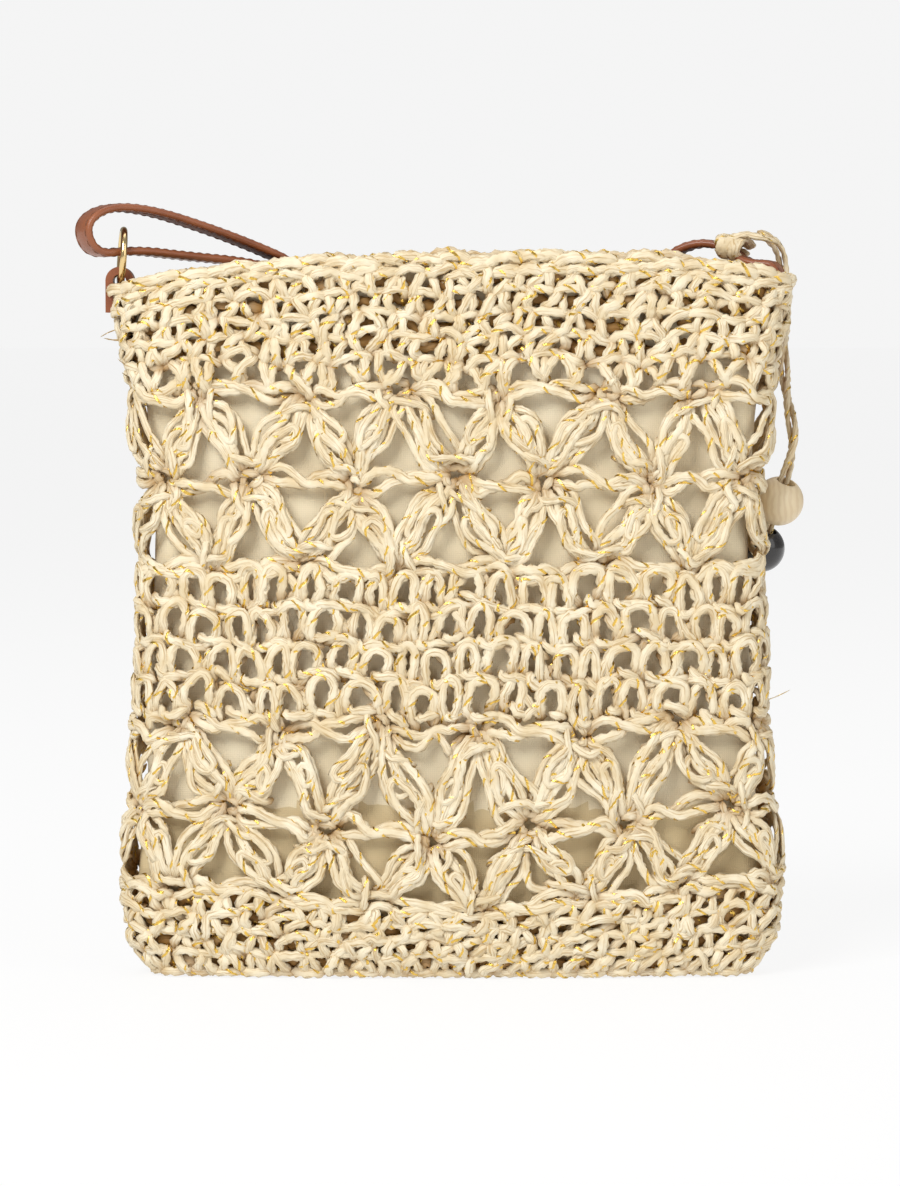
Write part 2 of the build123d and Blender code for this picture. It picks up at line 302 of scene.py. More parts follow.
@dataclass(frozen=True)
class Finish:
    """A finish with an uneven tone and a fine grain."""

    name: str
    dark: tuple[float, float, float]
    light: tuple[float, float, float]
    roughness: float = 0.5
    roughness_spread: float = 0.1
    metallic: float = 0.0
    coarse: float = 60.0
    fine: float = 900.0
    bump: float = 0.1
    bump_reach: float = 0.0002
    coat: float = 0.0
    sheen: float = 0.0

    def make(self) -> bpy.types.Material:
        """Build the material.

        Returns:
            The material.
        """
        material = bpy.data.materials.new(self.name)
        material.use_nodes = True
        sheet = NodeSheet(material.node_tree)
        shader = material.node_tree.nodes["Principled BSDF"]
        coords = sheet.add("TexCoord").outputs["Object"]
        mottle = sheet.add("Group", node_tree=MOTTLE)
        sheet.tree.links.new(coords, mottle.inputs["Vector"])
        mottle.inputs["Coarse"].default_value = self.coarse
        mottle.inputs["Fine"].default_value = self.fine
        colour = sheet.mix(sheet.ramp(mottle.outputs[0], ((0.3, 0.0), (0.7, 1.0))), (*self.dark, 1),
                           (*self.light, 1))
        colour, height = self.pattern(sheet, coords, mottle, colour)
        rough = sheet.math("MULTIPLY_ADD", mottle.outputs[1], self.roughness_spread, self.roughness)
        bump = sheet.add("Bump", {"Height": height, "Strength": self.bump, "Distance": self.bump_reach})
        sheet.tree.links.new(colour, shader.inputs["Base Color"])
        sheet.tree.links.new(rough, shader.inputs["Roughness"])
        sheet.tree.links.new(bump.outputs[0], shader.inputs["Normal"])
        shader.inputs["Coat Weight"].default_value = self.coat
        shader.inputs["Sheen Weight"].default_value = self.sheen
        shader.inputs["Metallic"].default_value = self.metallic
        return material

    def pattern(self, sheet: NodeSheet, coords: bpy.types.NodeSocket, mottle: bpy.types.Node,
                colour: bpy.types.NodeSocket) -> tuple[bpy.types.NodeSocket, bpy.types.NodeSocket]:
        """Colour and height; a plain finish keeps the mottle's."""
        return colour, mottle.outputs[1]


@dataclass(frozen=True)
class StrawFinish(Finish):
    """Paper straw: creased plies, painted warm shade in the creases and recesses, and a gold thread wound
    round the yarn.
    """

    thread_turns: float = 95.0
    # Colour of the painted shade in the recesses and under the strands.
    recess_shade: tuple[float, float, float] = (0.40, 0.21, 0.055)
    gold: tuple[float, float, float] = (0.86, 0.56, 0.12)

    def make(self) -> bpy.types.Material:
        """Build the straw's material.

        Returns:
            The material.
        """
        material = bpy.data.materials.new(self.name)
        material.use_nodes = True
        sheet = NodeSheet(material.node_tree)
        shader = material.node_tree.nodes["Principled BSDF"]
        coords = sheet.add("TexCoord").outputs["Object"]
        around = sheet.add("SeparateXYZ", {0: sheet.add("UVMap", uv_map="yarn").outputs[0]})
        along, lap = around.outputs[0], around.outputs[1]
        # This attribute holds the painted shade of the recesses and of the strands' undersides.
        painted_shade = sheet.add("Attribute", attribute_name="painted_shade").outputs["Fac"]
        tone = sheet.add("TexNoise", {"Vector": coords, "Scale": 160.0, "Detail": 3.0}).outputs[0]
        patches = sheet.add("TexNoise", {"Vector": coords, "Scale": 260.0, "Detail": 1.0}).outputs[0]
        crease_place = sheet.add("CombineXYZ",
                                 {0: sheet.math("MULTIPLY", along, 60.0),
                                  1: sheet.math("MULTIPLY", lap, 9.0)})
        creases = sheet.add("TexNoise",
                            {"Vector": crease_place.outputs[0], "Scale": 1.6, "Detail": 3.0}).outputs[0]
        wound = sheet.math("FRACT", sheet.math("MULTIPLY_ADD", along, self.thread_turns, lap))
        line = sheet.ramp(sheet.math("ABSOLUTE", sheet.math("SUBTRACT", wound, 0.5)),
                          ((0.045, 1.0), (0.075, 0.0)))
        thread = sheet.math("MULTIPLY", line, sheet.ramp(patches, ((0.45, 0.0), (0.50, 1.0))))
        cream = sheet.mix(sheet.ramp(tone, ((0.3, 0.0), (0.7, 1.0))), (*self.dark, 1), (*self.light, 1))
        # Painted shade in the creases: the low parts of the crease pattern darken to brown.
        creased = sheet.mix(sheet.ramp(creases, ((0.32, 0.85), (0.50, 0.0))), cream, (0.50, 0.32, 0.12, 1))
        # Painted shade: the colour darkens towards a warm brown in the recesses and under the strands.
        shaded = sheet.mix(painted_shade, creased, (*self.recess_shade, 1))
        colour = sheet.mix(thread, shaded, (*self.gold, 1))
        height = sheet.math("ADD", creases, sheet.math("MULTIPLY", thread, 0.5))
        bump = sheet.add("Bump", {"Height": height, "Strength": self.bump, "Distance": self.bump_reach})
        rough = sheet.math("MULTIPLY_ADD", thread, -0.35, self.roughness)
        sheet.tree.links.new(colour, shader.inputs["Base Color"])
        sheet.tree.links.new(rough, shader.inputs["Roughness"])
        sheet.tree.links.new(thread, shader.inputs["Metallic"])
        sheet.tree.links.new(bump.outputs[0], shader.inputs["Normal"])
        return material


@dataclass(frozen=True)
class WovenFinish(Finish):
    """Cloth with a visible weave."""

    threads: float = 5200.0

    def pattern(self, sheet: NodeSheet, coords: bpy.types.NodeSocket, mottle: bpy.types.Node,
                colour: bpy.types.NodeSocket) -> tuple[bpy.types.NodeSocket, bpy.types.NodeSocket]:
        """Colour and height of crossing threads, with painted shade in the gaps between them.

        Args:
            sheet: The material's nodes.
            coords: Object coordinates.
            mottle: The mottle node.
            colour: The colour so far.

        Returns:
            Colour and height outputs.
        """
        weave = sheet.add("Group", node_tree=WEAVE)
        sheet.tree.links.new(coords, weave.inputs["Vector"])
        weave.inputs["Threads"].default_value = self.threads
        # Painted shade: the low places between the threads are darkened.
        shaded = sheet.mix(sheet.ramp(weave.outputs[0], ((0.0, 0.12), (0.3, 0.0))), colour,
                           (0.30, 0.22, 0.10, 1))
        return shaded, weave.outputs[0]


@dataclass(frozen=True)
class GrainFinish(Finish):
    """Rings of wood grain."""

    def pattern(self, sheet: NodeSheet, coords: bpy.types.NodeSocket, mottle: bpy.types.Node,
                colour: bpy.types.NodeSocket) -> tuple[bpy.types.NodeSocket, bpy.types.NodeSocket]:
        """Colour and height of grain rings.

        Args:
            sheet: The material's nodes.
            coords: Object coordinates.
            mottle: The mottle node.
            colour: The colour so far.

        Returns:
            Colour and height outputs.
        """
        rings = sheet.add("TexWave",
                          {"Vector": coords, "Scale": 160.0, "Distortion": 5.0, "Detail": 2.0}).outputs[1]
        return sheet.mix(sheet.ramp(rings, ((0.2, 0.22), (0.6, 0.0))), colour, (0.55, 0.36, 0.17, 1)), rings


@dataclass(frozen=True)
class Finishes:
    """Every finish on the purse."""

    straw: bpy.types.Material = field(default_factory=StrawFinish(
        "cream_straw", (0.76, 0.61, 0.37), (0.93, 0.83, 0.62), roughness=0.6, bump=0.7,
                                                                  bump_reach=0.0005).make)
    leather: bpy.types.Material = field(default_factory=Finish(
        "brown_leather", (0.22, 0.062, 0.022), (0.33, 0.105, 0.038), 0.36, 0.12, coarse=90, fine=1800,
                                                               bump=0.22,
        coat=0.12).make)
    suede: bpy.types.Material = field(default_factory=Finish(
        "strap_back", (0.10, 0.030, 0.014), (0.15, 0.048, 0.022), 0.6, 0.2, coarse=160, fine=2400,
                                                             bump=0.3).make)
    gold: bpy.types.Material = field(default_factory=Finish(
        "gold_plate", (0.86, 0.62, 0.28), (0.93, 0.72, 0.38), 0.14, 0.1, metallic=1.0, fine=700,
                                                            bump=0.04).make)
    nickel: bpy.types.Material = field(default_factory=Finish(
        "satin_nickel", (0.48, 0.46, 0.42), (0.62, 0.60, 0.56), 0.28, 0.15, metallic=1.0, fine=1200,
                                                              bump=0.08).make)
    lining: bpy.types.Material = field(default_factory=WovenFinish(
        "cotton_lining", (0.93, 0.80, 0.54), (0.97, 0.87, 0.64), 0.85, 0.1, coarse=30, bump=0.35,
                                                                   sheen=0.2).make)
    # A darker copy of the lining cloth: painted shade for the cloth below the hem and on the base.
    lining_shaded_copy: bpy.types.Material = field(default_factory=WovenFinish(
        "cotton_lining_shaded_copy", (0.72, 0.57, 0.32), (0.80, 0.66, 0.40), 0.85, 0.1, coarse=30, bump=0.35).make)
    tape: bpy.types.Material = field(default_factory=WovenFinish(
        "zip_tape_cloth", (0.56, 0.50, 0.38), (0.68, 0.62, 0.48), 0.8, 0.1, coarse=80, bump=0.4,
                                                                 threads=7000.0).make)
    thread: bpy.types.Material = field(default_factory=Finish(
        "sewing_thread", (0.13, 0.045, 0.02), (0.22, 0.08, 0.035), 0.6, 0.1, coarse=500, fine=3000,
                                                              bump=0.3).make)
    wood: bpy.types.Material = field(default_factory=GrainFinish(
        "pale_wood", (0.74, 0.58, 0.36), (0.84, 0.70, 0.47), 0.38, 0.1, coarse=80, bump=0.08,
                                                                 coat=0.15).make)
    lacquer: bpy.types.Material = field(default_factory=Finish(
        "black_lacquer", (0.012, 0.010, 0.010), (0.03, 0.026, 0.025), 0.22, 0.1, bump=0.03, coat=0.5).make)


# ---------------------------------------------------------------- mesh helpers


def new_mesh_object(name: str, points: np.ndarray, faces: Iterable[Sequence[int]],
                    material: bpy.types.Material) -> bpy.types.Object:
    """Make a smooth mesh object at the origin.

    Args:
        name: The piece's name.
        points: N by 3 places in metres.
        faces: M by 4 (or 3) corner indices.
        material: Its finish.

    Returns:
        The new object.
    """
    mesh = bpy.data.meshes.new(name)
    mesh.from_pydata(points.tolist(), [], [list(face) for face in faces])
    mesh.polygons.foreach_set("use_smooth", np.ones(len(mesh.polygons), bool))
    mesh.materials.append(material)
    mesh.update()
    piece = bpy.data.objects.new(name, mesh)
    bpy.context.scene.collection.objects.link(piece)
    return piece


def spline(points: np.ndarray, step: float) -> np.ndarray:
    """A smooth line through points, sampled about every step, by Catmull-Rom spans.

    Args:
        points: Places it runs by.
        step: The spacing of its samples.

    Returns:
        The samples.
    """
    points = np.asarray(points, float)
    padded = np.vstack([2 * points[0] - points[1], points, 2 * points[-1] - points[-2]])
    samples = []
    for index in range(len(points) - 1):
        p0, p1, p2, p3 = padded[index:index + 4]
        count = max(2, int(round(np.linalg.norm(p2 - p1) / step)))
        t = np.arange(count)[:, None] / count
        samples.append(0.5 * (2 * p1 + (p2 - p0) * t + (2 * p0 - 5 * p1 + 4 * p2 - p3) * t**2
                              + (3 * p1 - p0 - 3 * p2 + p3) * t**3))
    return np.vstack([*samples, points[-1:]])


@dataclass
class Yarn:
    """Collects flattened two-ply strands and makes them one mesh."""

    half_width: float = 1.85
    half_thickness: float = 0.95
    sides: int = 8
    # Strength of the painted shade in the recesses and under the strands.
    recess_shade: float = 1.0
    points: list[np.ndarray] = field(default_factory=list)
    faces: list[np.ndarray] = field(default_factory=list)
    marks: list[np.ndarray] = field(default_factory=list)
    painted_shades: list[np.ndarray] = field(default_factory=list)
    count: int = 0

    def strand(self, line: np.ndarray, outward: np.ndarray, painted_shade: np.ndarray, phase: float,
               size: float = 1.0) -> None:
        """Sweep one strand.

        Args:
            line: Places in metres.
            outward: Unit vectors away from the bag at each place.
            painted_shade: Painted shade for how far each place lies in a hollow, 0 to 1.
            phase: Where its twist begins.
            size: Scale of its section.
        """
        tangent = np.gradient(line, axis=0)
        tangent /= np.linalg.norm(tangent, axis=1)[:, None] + 1e-12
        across = np.cross(tangent, outward)
        across /= np.linalg.norm(across, axis=1)[:, None] + 1e-12
        away = np.cross(across, tangent)
        run = np.concatenate([[0], np.cumsum(np.linalg.norm(np.diff(line, axis=0), axis=1))])
        angle = np.linspace(0, 2 * math.pi, self.sides, endpoint=False)
        twist = run[:, None] / MM * 0.75 + phase
        lobes = 1.0 - 0.38 * np.cos(angle[None,
                                          :] + twist) ** 8 - 0.10 * np.sin(2.3 * twist + 2 * angle[None, :])
        taper = np.minimum(1.0, 0.35 + np.minimum(run, run[-1] - run)[:, None] / (1.6 * MM))
        wide = self.half_width * MM * size * lobes * taper
        thick = self.half_thickness * MM * size * lobes * taper
        ring = (line[:, None, :] + across[:, None, :] * (wide * np.cos(angle))[..., None]
                + away[:, None, :] * (thick * np.sin(angle))[..., None])
        rings, sides = len(line), self.sides
        base = np.arange(rings - 1)[:, None] * sides
        corner, following = np.arange(sides)[None, :], (np.arange(sides)[None, :] + 1) % sides
        quads = np.stack([base + corner, base + following, base + sides + following,
                          base + sides + corner], -1)
        caps = np.array([[0, 3, 2, 1], [0, 7, 4, 3], [4, 7, 6, 5]])
        tail = np.array([[0, 1, 2, 3], [0, 3, 4, 7], [4, 5, 6, 7]]) + (rings - 1) * sides
        self.faces.append(np.vstack([quads.reshape(-1, 4), caps, tail]) + self.count)
        self.points.append(ring.reshape(-1, 3))
        marks = np.stack(np.broadcast_arrays(run[:, None] + phase, angle[None, :] / (2 * math.pi)), -1)
        self.marks.append(marks.reshape(-1, 2))
        # Painted shade on the underside of each strand, the half that faces the bag.
        under = 0.5 * np.clip(-np.sin(angle), 0, 1)[None, :]
        self.painted_shades.append(np.clip((painted_shade[:, None] + under) * self.recess_shade, 0, 1).reshape(-1))
        self.count += rings * sides

    def on_bag(self, knots: Iterable[Point], phase: float, size: float = 1.0, step: float = 1.35) -> None:
        """Lay a strand on the bag through (round, height, depth) knots in millimetres.

        Args:
            knots: Round, height and depth of each knot.
            phase: Where its twist begins.
            size: Scale of its section.
            step: The spacing of its samples.
        """
        line = spline(np.array(list(knots)), step)
        places, normals = FORM.place(line[:, 0], line[:, 1], line[:, 2])
        places[:, 2] = np.maximum(places[:, 2], 2.0 * MM)
        # Painted shade: the further a place sinks below the surface, the darker its colour.
        painted_shade = np.clip((-0.35 - line[:, 2]) / 2.4, 0, 1)
        self.strand(places, normals, painted_shade, phase, size)

    def build(self, name: str, material: bpy.types.Material) -> bpy.types.Object:
        """Make the collected strands one piece.

        Args:
            name: The piece's name.
            material: Its finish.

        Returns:
            The piece.
        """
        piece = new_mesh_object(name, np.vstack(self.points), np.vstack(self.faces), material)
        marks, painted_shades = np.vstack(self.marks), np.concatenate(self.painted_shades)
        corners = np.zeros(len(piece.data.loops), int)
        piece.data.loops.foreach_get("vertex_index", corners)
        layer = piece.data.uv_layers.new(name="yarn")
        layer.data.foreach_set("uv", marks[corners].reshape(-1).astype(np.float32))
        # The attribute carries the painted shade of the recesses and the strands' undersides.
        attribute = piece.data.attributes.new("painted_shade", "FLOAT", "POINT")
        attribute.data.foreach_set("value", painted_shades.astype(np.float32))
        return piece


# ---------------------------------------------------------------- crochet


@dataclass
class CrochetBand:
    """One band of the crochet body."""

    name: str
    replaces: tuple[str, ...]
    seed: int
    yarn: Yarn = field(default_factory=Yarn)

    def __post_init__(self) -> None:
        """Start the band's own random draws."""
        self.random = np.random.default_rng(self.seed)

    def lay(self, knots: Sequence[Point], wander: float = 0.62, size: float = 1.0) -> None:
        """Lay a strand whose knots wander a little.

        Args:
            knots: Round, height and depth of each knot.
            wander: How far each knot strays, in millimetres.
            size: Scale of its section.
        """
        jitter = self.random.normal(0, wander, (len(knots), 3)) * (1, 1, 0.55)
        jitter = jitter + self.random.normal(0, 0.55, 3) * (1, 1, 0.6)
        self.yarn.on_bag(np.array(knots) + jitter, self.random.uniform(0, 6.2),
                         size * self.random.uniform(0.86, 1.12))

    def work(self, kind: Row, low: float, height: float, pitch: float, shift: float) -> None:
        """Work one row round the bag.

        Args:
            kind: The kind of row.
            low: The level it starts from.
            height: Its height.
            pitch: The width of one stitch.
            shift: How far round it starts, in stitches.
        """
        stitches = {Row.SINGLE: self.single_row, Row.TALL: self.tall_row, Row.MESH: self.mesh_row}
        stitches[kind](low, height, pitch, shift)

    def single_row(self, low: float, height: float, pitch: float, shift: float) -> None:
        """A row of tight slanting stitches under a chain.

        Args:
            low: The level it starts from.
            height: Its height.
            pitch: The width of one stitch.
            shift: How far round it starts, in stitches.
        """
        count = round(FORM.girth / pitch)
        pitch = FORM.girth / count
        for index in range(count):
            s = (index + shift) * pitch
            lean = 1.3
            for side in (-1, 1):
                self.lay([(s + side * 0.5, low - 1.6, -2.6),
                          (s + side * 2.0 + lean * 0.4, low + height * 0.35, 0.15),
                          (s + side * 3.3 + lean, low + height * 0.85, -0.3),
                          (s + side * 4.2 + lean, low + height + 1.2, -2.6)])
            self.lay([(s - pitch * 0.62, low + height - 1.5, -2.4),
                      (s - pitch * 0.2, low + height + 0.6, 0.1),
                      (s + pitch * 0.35, low + height + 0.9, -0.1),
                      (s + pitch * 0.75, low + height - 0.9, -2.4)], size=0.9)
            self.lay([(s - pitch * 0.5, low + height * 0.3, -3.6), (s, low + height * 0.6, -2.9),
                      (s + pitch * 0.5, low + height * 0.3, -3.6)], size=1.15)

    def tall_row(self, low: float, height: float, pitch: float, shift: float) -> None:
        """A row of tall crossed posts with gaps between.

        Args:
            low: The level it starts from.
            height: Its height.
            pitch: The width of one stitch.
            shift: How far round it starts, in stitches.
        """
        count = round(FORM.girth / pitch)
        pitch = FORM.girth / count
        for index in range(count):
            s = (index + shift) * pitch
            for side in (-1, 1):
                self.lay([(s - side * 2.0, low - 1.5, -2.2), (s + side * 0.9, low + height * 0.45, 0.2),
                          (s + side * 2.5, low + height * 0.9, -0.5),
                          (s + side * 3.2, low + height + 1.0, -2.4)])
            self.lay([(s - 0.6, low + height * 0.15, -1.6), (s + 0.4, low + height * 0.5, 0.75),
                      (s + 0.8, low + height * 0.85, -1.2)], size=0.9)
            self.lay([(s - pitch * 0.6, low + height - 0.6, -2.0), (s, low + height + 0.9, 0.0),
                      (s + pitch * 0.6, low + height - 0.6, -2.0)], size=0.9)

    def mesh_row(self, low: float, height: float, pitch: float, shift: float) -> None:
        """A row of open round loops with crossed bars between.

        Args:
            low: The level it starts from.
            height: Its height.
            pitch: The width of one stitch.
            shift: How far round it starts, in stitches.
        """
        count = round(FORM.girth / pitch)
        pitch = FORM.girth / count
        for index in range(count):
            s = (index + shift) * pitch
            half = pitch * 0.30
            self.lay([(s - half * 0.7, low - 1.8, -2.6), (s - half * 1.15, low + height * 0.4, 0.0),
                      (s - half * 0.75, low + height * 0.88, 0.3),
                      (s + half * 0.1, low + height * 1.04, 0.4),
                      (s + half * 0.95, low + height * 0.84, 0.2),
                      (s + half * 1.1, low + height * 0.38, -0.1),
                      (s + half * 0.6, low - 1.8, -2.6)], wander=0.35, size=0.95)
            for side in (-1, 1):
                self.lay([(s + pitch / 2 - side * 3.0, low + height * 0.95, -2.0),
                          (s + pitch / 2 - side * 0.7, low + height * 0.5, -0.7),
                          (s + pitch / 2 + side * 1.9, low - 0.5, -1.6)], size=0.85)
            self.lay([(s - pitch * 0.6, low + height - 1.2, -1.8), (s, low + height + 0.6, 0.35),
                      (s + pitch * 0.6, low + height - 0.9, -1.8)], size=0.88)
            self.lay([(s - pitch * 0.15, low + height * 0.25, -1.3), (s + 0.5, low + height * 0.05, 0.3),
                      (s + pitch * 0.55, low + height * 0.02, -0.6)], size=0.9)

    def petal(self, start: tuple[float, float], end: tuple[float, float]) -> None:
        """A bundle of long strands and overlapping loops between two star centres.

        Args:
            start: Round and height of one star centre.
            end: Round and height of the other.
        """
        run = np.array([end[0] - start[0], end[1] - start[1]])
        side = np.array([-run[1], run[0]]) / np.linalg.norm(run)

        def at(share: float, out: float, depth: float) -> Point:
            """A place a share of the way along, and out to its side."""
            place = np.array(start) + run * share + side * out
            return (place[0], place[1], depth)

        for lane in (-4.6, -1.6, 1.6, 4.6):
            lift = 0.5 - abs(lane) * 0.10
            bow = lane + self.random.normal(0, 0.5)
            self.lay([at(0.07, lane * 0.3, -2.8), at(0.26, bow * 0.80, lift - 0.2),
                      at(0.52, bow, lift + 0.2),
                      at(0.76, bow * 0.82, lift - 0.2), at(0.95, lane * 0.3, -2.8)], wander=0.45, size=0.80)
        for first, last, way in ((0.06, 0.60, 1), (0.94, 0.42, -1)):
            turn = self.random.choice((-1.0, 1.0))
            middle = (first + last) / 2
            self.lay([at(first, turn * 0.4, -1.6), at(middle, turn * 3.6, 1.0),
                      at(last - way * 0.04, turn * 3.6, 1.25),
                      at(last + way * 0.03, turn * 1.2, 0.9), at(last - way * 0.06, -turn * 0.2, 0.95),
                      at(middle, -turn * 0.6, 0.75), at(first, -turn * 0.4, -1.8)], wander=0.35, size=0.78)
        for share in (0.22, 0.80):
            turn = self.random.choice((-1.0, 1.0))
            self.lay([at(share - 0.16, turn * 4.2, -1.8), at(share - 0.03, turn * 1.4, 0.9),
                      at(share + 0.08, -turn * 2.2, 0.8),
                      at(share + 0.19, -turn * 5.4, -1.8)], wander=0.4, size=0.72)

    def star_rows(self, top: float, middle: float, bottom: float, shift: float, stars: int = 14) -> None:
        """Whole stars in the middle row, half stars above and below.

        Args:
            top: Level of the upper half stars.
            middle: Level of the whole stars.
            bottom: Level of the lower half stars.
            shift: How far round the first star stands.
            stars: How many stars go round.
        """
        pitch = FORM.girth / stars
        for index in range(stars):
            s = shift + index * pitch
            for away in (-0.5, 0.5):
                self.petal((s, middle), (s + away * pitch, top))
                self.petal((s, middle), (s + away * pitch, bottom))
            for level, offset in ((top, 0.5), (middle, 0.0), (bottom, 0.5)):
                start = s + offset * pitch
                for side in (-1, 1):
                    self.lay([(start + 1.8, level + side * 0.5, -2.4),
                              (start + pitch * 0.26, level + side * 2.0, 0.1),
                              (start + pitch * 0.5, level, 0.5 * side - 0.1),
                              (start + pitch * 0.74, level - side * 2.0, 0.1),
                              (start + pitch - 1.8, level - side * 0.5, -2.4)],
                             wander=0.4)
                for turn in range(3):
                    angle = turn * 2.1 + 0.4
                    self.lay([(start + 2.6 * math.cos(angle), level + 2.6 * math.sin(angle), -1.9),
                              (start + 2.4 * math.cos(angle + 1.0), level + 2.4 * math.sin(angle + 1.0),
                               -1.2),
                              (start + 2.6 * math.cos(angle + 2.0), level + 2.6 * math.sin(angle + 2.0),
                               -1.9)],
                             wander=0.2, size=0.8)

    def rim_chain(self) -> None:
        """The braided edge along the rim, of overlapping lens-shaped links."""
        links = 62
        pitch = FORM.girth / links
        for index in range(links):
            s = index * pitch
            self.lay([(s - pitch * 0.9, 226.3, -1.5), (s - pitch * 0.25, 229.6, 0.1),
                      (s + pitch * 0.45, 230.2, 0.2),
                      (s + pitch * 1.05, 228.3, -1.3)], wander=0.3, size=1.05)
            self.lay([(s - pitch * 0.8, 229.4, -3.2), (s, 230.4, -2.4), (s + pitch * 0.9, 229.2, -3.4)],
                     wander=0.3, size=1.0)
            self.lay([(s - pitch * 0.5, 223.6, -2.2), (s + pitch * 0.1, 226.0, 0.2),
                      (s + pitch * 0.9, 226.8, -0.7)],
                     wander=0.35, size=0.95)

    def underside(self) -> None:
        """Rows that close the base, round and round."""
        for inset in (1.0, 4.2, 7.4, 10.4):
            turns = 46
            pitch = FORM.girth / turns
            for index in range(turns):
                s = index * pitch
                level = 1.1
                self.lay([(s - pitch * 0.6, level, -inset - 0.6), (s, level, -inset + 0.6),
                          (s + pitch * 0.6, level, -inset - 0.6)], wander=0.25, size=0.95)

    def whisker(self, s: float, h: float, reach: float, rise: float) -> None:
        """A stray fibre that stands off the bag."""
        self.yarn.on_bag([(s, h, -0.5), (s + 1.0, h + rise * 0.4, reach * 0.5),
                          (s + 1.5, h + rise, reach)], 0.3, 0.16)

    def finish(self, finishes: Finishes) -> None:
        """Make the band one piece that stands for its plain shell.

        Args:
            finishes: All finishes.
        """
        piece = self.yarn.build(self.name, finishes.straw)
        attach(piece, "bag")
        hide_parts(*self.replaces)
        LOG.info("%s: %d faces", self.name, len(piece.data.polygons))


@dataclass
class CrochetBody:
    """The whole crochet body, from the base to the rim."""

    single_pitch: float = 8.6
    single_height: float = 6.4
    bottom_rows: tuple[float, ...] = (2.2, 8.6, 15.2, 21.8)
    lower_stars: tuple[float, float, float] = (81.5, 56.5, 30.5)
    lower_shift: float = -7.0
    open_start: float = 84.5
    open_rows: int = 4
    open_spacing: float = 11.6
    open_height: float = 11.0
    open_pitch: float = 9.8
    upper_stars: tuple[float, float, float] = (187.5, 159.5, 131.5)
    tall_start: float = 188.5
    tall_height: float = 9.0
    tall_pitch: float = 9.2
    top_rows: tuple[float, ...] = (198.5, 205.4, 212.2, 218.9)
    top_height: float = 6.6
    # Strength of the painted shade on the rim chain, kept low so that the rim seen from inside stays cream.
    rim_recess_shade: float = 0.25

    def build(self, finishes: Finishes) -> None:
        """Work every band.

        Args:
            finishes: All finishes.
        """
        base = CrochetBand("straw_base_rows", ("crochet_base",), 11)
        base.underside()
        base.finish(finishes)
        bottom = CrochetBand("straw_bottom_rows", ("crochet_bottom_band",), 12)
        for index, low in enumerate(self.bottom_rows):
            bottom.work(Row.SINGLE, low, self.single_height, self.single_pitch, index * 0.5)
        bottom.yarn.on_bag([(75, 6, 0.4), (77, 9.5, 1.8), (80, 7, 2.6), (83, 3.4, 2.0), (86.5, 1.6, 1.6)],
                           0.4, 0.75)
        bottom.finish(finishes)
        lower = CrochetBand("straw_lower_stars", ("crochet_lower_star_band",), 13)
        lower.star_rows(*self.lower_stars, self.lower_shift)
        lower.finish(finishes)
        middle = CrochetBand("straw_open_rows", ("crochet_middle_band",), 14)
        for index in range(self.open_rows):
            low = self.open_start + index * self.open_spacing
            middle.work(Row.MESH, low, self.open_height, self.open_pitch, 0.5 * (index % 2))
        middle.whisker(104, 88, 7.5, 2.5)
        middle.finish(finishes)
        upper = CrochetBand("straw_upper_stars", ("crochet_upper_star_band",), 15)
        upper.star_rows(*self.upper_stars, 0.0)
        upper.finish(finishes)
        top = CrochetBand("straw_top_rows", ("crochet_top_band",), 16)
        top.work(Row.TALL, self.tall_start, self.tall_height, self.tall_pitch, 0.0)
        for index, low in enumerate(self.top_rows):
            top.work(Row.SINGLE, low, self.top_height, self.single_pitch, index * 0.5)
        for s, h, reach, rise in ((-106, 214, 6.5, -3), (-106, 209, 5.5, 1.5), (-104, 197, 3.5, 4),
                                  (-104, 192, 3, 2)):
            top.whisker(s, h, reach, rise)
        top.finish(finishes)
        rim = CrochetBand("straw_rim_chain", ("crochet_rim_chain",), 17)
        rim.yarn.recess_shade = self.rim_recess_shade
        rim.rim_chain()
        rim.finish(finishes)


# ---------------------------------------------------------------- lining


